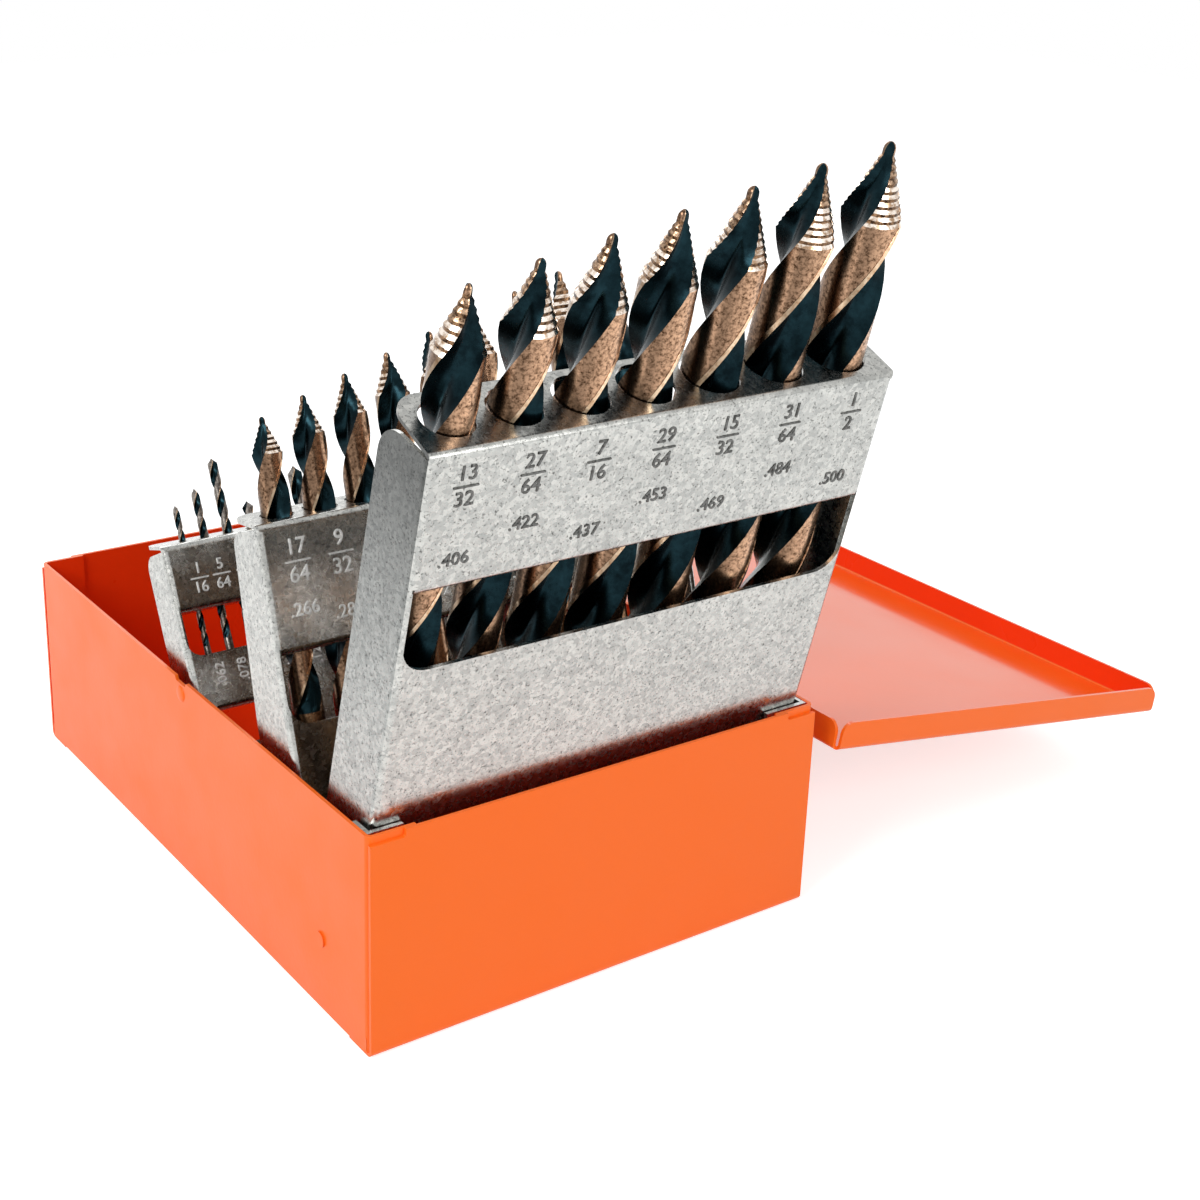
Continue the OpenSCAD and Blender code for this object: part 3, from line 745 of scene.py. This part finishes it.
def fraction(n, size, x, z, r, material):
    """A drill's size as a stamped fraction."""
    top, low = bit_name(n).split("_")
    half = size * FRACTION_HALF
    parts = [stamp(top, size, x, z + half, r, material),
             stamp(low, size, x, z - half, r, material)]
    bar = prism(rounded(x - half, z - BAR_HALF, x + half, z + BAR_HALF, (0.15,) * 4, 2),
                -r["n"] - 0.16, -r["n"] + 0.1, "y")
    bar.data.materials.append(material)
    place(bar, rack_matrix(r))
    return parts + [bar]


def stamps(key, size, high, small, low, material, turn=0):
    """Fractions of an inch along the top of a rack's face, and decimals under them."""
    r = RACKS[key]
    first, last = r["bits"]
    parts = []
    for i, n in enumerate(range(first, last + 1)):
        x = bit_x(n, r)
        parts += fraction(n, size, x, high, r, material)
        decimal = "." + f"{math.ceil(n / 64 * 1000 - 0.5):03d}"
        parts.append(stamp(decimal, small, x, low[i % len(low)], r, material, turn))
    o = join(parts, key + "_figures")
    shade(o, 50)
    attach(o, key + "_rack")


# ---- drills ----

# land, margin and flute of each half turn in degrees, how far the land lies under the margin,
# and the share of the radius left under the flute, along the drill and at its point
MARGIN_AT = 77
LAND_END = 86
MARGIN_STEP = 0.3
RELIEF = 0.02
WEB = 0.34
TIP_WEB = 0.5
# how the flute's section leans to its leading edge and how full it is
FLUTE_LEAN = 0.72
FLUTE_FILL = 0.62
# rings of the mesh in one turn of the flutes
RINGS = 30
# chamfer at the shank's end, and the share of a point's steps whose chamfers carry the painted
# highlight
CHAMFER = 0.3
HIGHLIGHT_SHARE = 0.55
# shares of the diameter: the flutes' run-out and the rounded nose of a stepped point
RUNOUT = 1.2
NOSE = 0.17
# share of the radius left at the start of the nose
NOSE_R = 0.2
# a drill's material slots; those of the point's three kinds of face, with painted highlight, painted
# dim and painted shade, follow
LAND_SLOT, MARGIN_SLOT, FLUTE_SLOT, SHANK_SLOT = range(4)
# turn of the flutes in degrees, by 64ths of an inch, of the drills the photo shows well
SEEN_TURN = {17: 106, 18: 166, 19: 8, 20: 49,
             26: 148, 27: 104, 28: 137, 29: 155, 30: 139, 31: 108, 32: 117}


def flute_turn(n):
    """Turn of a drill's flutes; the drills that are hidden or tiny get a different one each."""
    return SEEN_TURN.get(n, n * 67 % 180)


def drill_rows(n, d, length, lead):
    """Rings from the shank's end to the nose: height, share of the radius, share of the flute.
    The kind of the faces over a ring is 1 for a chamfer with a painted highlight, 2 for a chamfer
    painted dim, 3 for a riser painted in shade.
    Last comes the height at which the plain shank ends and the flutes' twist starts."""
    if n > 25:
        steps, tip, shank = 7 + (n - 25) // 2, 1.22 * d, 0.3 * length
    elif n > 16:
        steps, tip, shank = 6, 1.15 * d, 0.4 * length
    else:
        steps, tip, shank = 0, 0.5 * d, 0.3 * length
    rows = [(0, 1 - CHAMFER / (d / 2) * 0.6, 0), (CHAMFER, 1, 0), (shank * 0.5, 1, 0)]
    runout = RUNOUT * d
    for k in range(7):
        rows.append((shank + runout * k / 6, 1, math.sin(math.pi / 2 * k / 6)))
    body = length - tip
    count = max(4, int((body - shank - runout) / lead * RINGS))
    for k in range(1, count):
        rows.append((shank + runout + (body - shank - runout) * k / count, 1, 1))
    kinds = {}
    if steps:
        nose = NOSE * d
        h = (tip - nose) / steps
        for k in range(steps):
            a = 1 - (1 - NOSE_R) * k / steps
            b = 1 - (1 - NOSE_R) * (k + 1) / steps
            kinds[len(rows)] = 1 if k < steps * HIGHLIGHT_SHARE else 2
            rows.append((body + h * k, a, 1))
            kinds[len(rows)] = 3
            rows.append((body + h * (k + 0.5), b, 1))
        rows.append((length - nose, NOSE_R, 1))
        for k in range(5):
            t = math.pi / 2 * k / 4
            high = length - nose * 0.75 * (1 - math.sin(t))
            rows.append((high, NOSE_R * max(0.06, math.cos(t)), 1))
    else:
        rows.append((body, 1, 1))
        for k in range(1, 4):
            rows.append((body + tip * k / 3, max(0.06, 1 - k / 3), 1))
    return rows, kinds, shank


def drill(n):
    """One drill from its rings: l is the land, m the margin and f the flute."""
    key = "front" if n > 25 else "middle" if n > 16 else "rear"
    r = RACKS[key]
    d = bit_d(n)
    big = d / 2
    lead = LEAD_RATIO * d
    rows, kinds, plain = drill_rows(n, d, bit_length(n), lead)
    cols = [(MARGIN_AT * k / 6, "l") for k in range(6)]
    cols += [(MARGIN_AT - MARGIN_STEP, "l"), (MARGIN_AT, "m"), (LAND_END - MARGIN_STEP, "m")]
    flute_cols = 14 if n > 16 else 7
    cols += [(LAND_END + (180 - LAND_END) * k / flute_cols, "f") for k in range(flute_cols)]
    ring = [(a + half, kind) for half in (0, 180) for a, kind in cols]
    verts = []
    deep = []
    for z, share, depth in rows:
        spin = math.radians(360 * max(z, plain) / lead + flute_turn(n))
        for a, kind in ring:
            rr = big * share
            if kind == "l":
                rr *= 1 - RELIEF * depth
            cut_in = False
            if kind == "f":
                u = (a % 180 - LAND_END) / (180 - LAND_END)
                f = math.sin(math.pi * u ** FLUTE_LEAN) ** FLUTE_FILL if u > 0 else 0
                flute = big * (1 - (1 - WEB) * f * depth)
                if share < 1:
                    flute = min(flute, rr * (1 - (1 - TIP_WEB) * f))
                cut_in = flute < rr and depth > 0
                rr = min(rr, flute)
            t = math.radians(a) + spin
            verts.append((rr * math.cos(t), rr * math.sin(t), z))
            deep.append(cut_in)
    m = len(ring)
    faces = []
    mats = []
    around = []
    for i in range(len(rows) - 1):
        turned = [(360 * max(rows[j][0], plain) / lead + flute_turn(n)) / 180 for j in (i, i + 1)]
        for k in range(m):
            a = i * m + k
            b = i * m + (k + 1) % m
            quad = (a, b, b + m, a + m)
            faces.append(quad)
            u0 = ring[k][0] / 180
            u1 = ring[k + 1][0] / 180 if k + 1 < m else 2
            around += [turned[0] + u0, turned[0] + u1, turned[1] + u1, turned[1] + u0]
            kind = ring[k][1]
            if i < 3:
                mats.append(SHANK_SLOT)
            elif kind == "f" and any(deep[v] for v in quad):
                mats.append(FLUTE_SLOT)
            elif i in kinds:
                mats.append(SHANK_SLOT + kinds[i])
            elif kind == "m":
                mats.append(MARGIN_SLOT)
            else:
                mats.append(LAND_SLOT)
    faces.append(tuple(range(m - 1, -1, -1)))
    mats.append(SHANK_SLOT)
    faces.append(tuple(range((len(rows) - 1) * m, len(rows) * m)))
    mats.append(LAND_SLOT)
    land = BRONZE if n > 16 else STEEL_LAND
    shank = SHANK if n > 16 else SHANK_GREY
    o = make("drill_" + bit_name(n), verts, faces,
             [land, MARGIN_POLISH_AND_HIGHLIGHT, TEAL, shank, STEP_PAINTED_HIGHLIGHT, STEP_PAINTED_DIM, RISER_PAINTED_SHADE], mats, True)
    uv = o.data.uv_layers.new(name="around")
    around += [0.6] * (len(o.data.loops) - len(around))
    uv.data.foreach_set("uv", [c for u in around for c in (u, 0.5)])
    o.data.set_sharp_from_angle(angle=math.radians(28))
    where = Matrix.Translation(Vector((bit_x(n, r), r["bit_n"] - r["n"],
                                       bit_seat(n, r) + BIT_SEAT)) * MM)
    place(o, rack_matrix(r) @ where)
    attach(o, "drill_" + bit_name(n))
    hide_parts("bit_" + bit_name(n))


base_box()
catch_bump()
lid()
for key in RACKS:
    rack(key)
stamps("front", 4.4, 91.6, 3.9, (76, 81), FIGURES_PAINTED_SHADE)
stamps("middle", 4.8, 69.4, 4, (59.2, 56.9), FIGURES_PAINTED_LIGHT)
stamps("rear", 3.6, 67.2, 3.2, (44.6,), FIGURES_PAINTED_LIGHT, 90)
for n in range(4, 33):
    drill(n)

for name, material in (("side_bracket_left", BRACKET_ZINC), ("side_bracket_right", BRACKET_ZINC),
                       ("bracket_rivets", ORANGE), ("front_rack_studs", BRACKET_ZINC),
                       ("middle_rack_studs", BRACKET_ZINC), ("rear_rack_studs", BRACKET_ZINC),
                       ("base_hinge_leaf", HINGE_STEEL), ("hinge_pin", HINGE_STEEL),
                       ("lid_hinge_leaf", HINGE_STEEL)):
    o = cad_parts[name]
    o.data.materials.clear()
    o.data.materials.append(material)


# ---- stage ----

def seen_as_background(tree):
    """1 for the rays that show the background: camera, mirror and glass rays."""
    path = node(tree, "ShaderNodeLightPath")
    first = node(tree, "ShaderNodeMath", operation="MAXIMUM")
    tree.links.new(path.outputs["Is Camera Ray"], first.inputs[0])
    tree.links.new(path.outputs["Is Glossy Ray"], first.inputs[1])
    both = node(tree, "ShaderNodeMath", operation="MAXIMUM")
    tree.links.new(first.outputs[0], both.inputs[0])
    tree.links.new(path.outputs["Is Transmission Ray"], both.inputs[1])
    return both.outputs[0]


def white_floor(name, colour, glow_level):
    """Diffuse floor that shows as white with the object's soft shadow on it."""
    m = bpy.data.materials.new(name)
    m.use_nodes = True
    tree = m.node_tree
    tree.nodes.clear()
    out = tree.nodes.new("ShaderNodeOutputMaterial")
    mix = tree.nodes.new("ShaderNodeMixShader")
    both = tree.nodes.new("ShaderNodeAddShader")
    diffuse = node(tree, "ShaderNodeBsdfDiffuse")
    set_colour(diffuse.inputs["Color"], colour)
    glow = node(tree, "ShaderNodeEmission", Strength=glow_level)
    tree.links.new(diffuse.outputs[0], both.inputs[0])
    tree.links.new(glow.outputs[0], both.inputs[1])
    tree.links.new(seen_as_background(tree), mix.inputs[0])
    tree.links.new(diffuse.outputs[0], mix.inputs[1])
    tree.links.new(both.outputs[0], mix.inputs[2])
    tree.links.new(mix.outputs[0], out.inputs[0])
    return m


FLOOR_HALF = 1500
FLOOR_Z = -0.2
FLOOR_GREY = 0.8
FLOOR_GLOW = 0.64
corners = [(x * FLOOR_HALF, y * FLOOR_HALF, FLOOR_Z) for x, y in ((-1, -1), (1, -1), (1, 1), (-1, 1))]
floor = make("stage_floor", corners, [(0, 1, 2, 3)],
             [white_floor("stage_white", grey(FLOOR_GREY), FLOOR_GLOW)])

world = bpy.data.worlds.new("world")
bpy.context.scene.world = world
world.use_nodes = True
tree = world.node_tree
tree.nodes.clear()
out = tree.nodes.new("ShaderNodeOutputWorld")
mix = tree.nodes.new("ShaderNodeMixShader")
sky = node(tree, "ShaderNodeBackground", Strength=0.55)
set_colour(sky.inputs["Color"], (0.96, 0.98, 1.0))
plain = node(tree, "ShaderNodeBackground", Strength=1.0)
set_colour(plain.inputs["Color"], grey(1))
tree.links.new(seen_as_background(tree), mix.inputs[0])
tree.links.new(sky.outputs[0], mix.inputs[1])
tree.links.new(plain.outputs[0], mix.inputs[2])
tree.links.new(mix.outputs[0], out.inputs[0])


def lamp(name, at, aim, size, power):
    """Square lamp at a point, turned to another, both in metres."""
    data = bpy.data.lights.new(name, "AREA")
    data.shape = "SQUARE"
    data.size = size
    data.energy = power
    o = bpy.data.objects.new(name, data)
    bpy.context.scene.collection.objects.link(o)
    o.location = at
    o.rotation_euler = (Vector(aim) - Vector(at)).to_track_quat("-Z", "Y").to_euler()


lamp("key", (-0.9, -0.25, 0.75), (0, 0, 0.03), 0.5, 7)
lamp("front", (0.25, -1.0, 0.55), (0, 0, 0.06), 0.5, 4)
lamp("back", (0.3, 0.9, 0.7), (0, 0, 0.05), 0.6, 3)

# ---- camera, worked out from the case's corners in the photograph ----
camera_data = bpy.data.cameras.new("camera")
camera_data.lens = 57.67
camera_data.sensor_width = 36
camera_data.shift_x = 0.0464
camera_data.shift_y = -0.0664
camera_data.clip_start = 0.01
camera = bpy.data.objects.new("camera", camera_data)
bpy.context.scene.collection.objects.link(camera)
right = Vector((0.8226, -0.56801, 0.02633))
down = Vector((-0.17349, -0.2948, -0.93968))
ahead = Vector((0.54151, 0.76841, -0.34105))
stands = Vector((-219.1, -370.6, 234.5)) * MM
turn = Matrix((right, -down, -ahead)).transposed()
camera.matrix_world = Matrix.Translation(stands) @ turn.to_4x4()
bpy.context.scene.camera = camera
bpy.context.scene.view_settings.view_transform = "Standard"
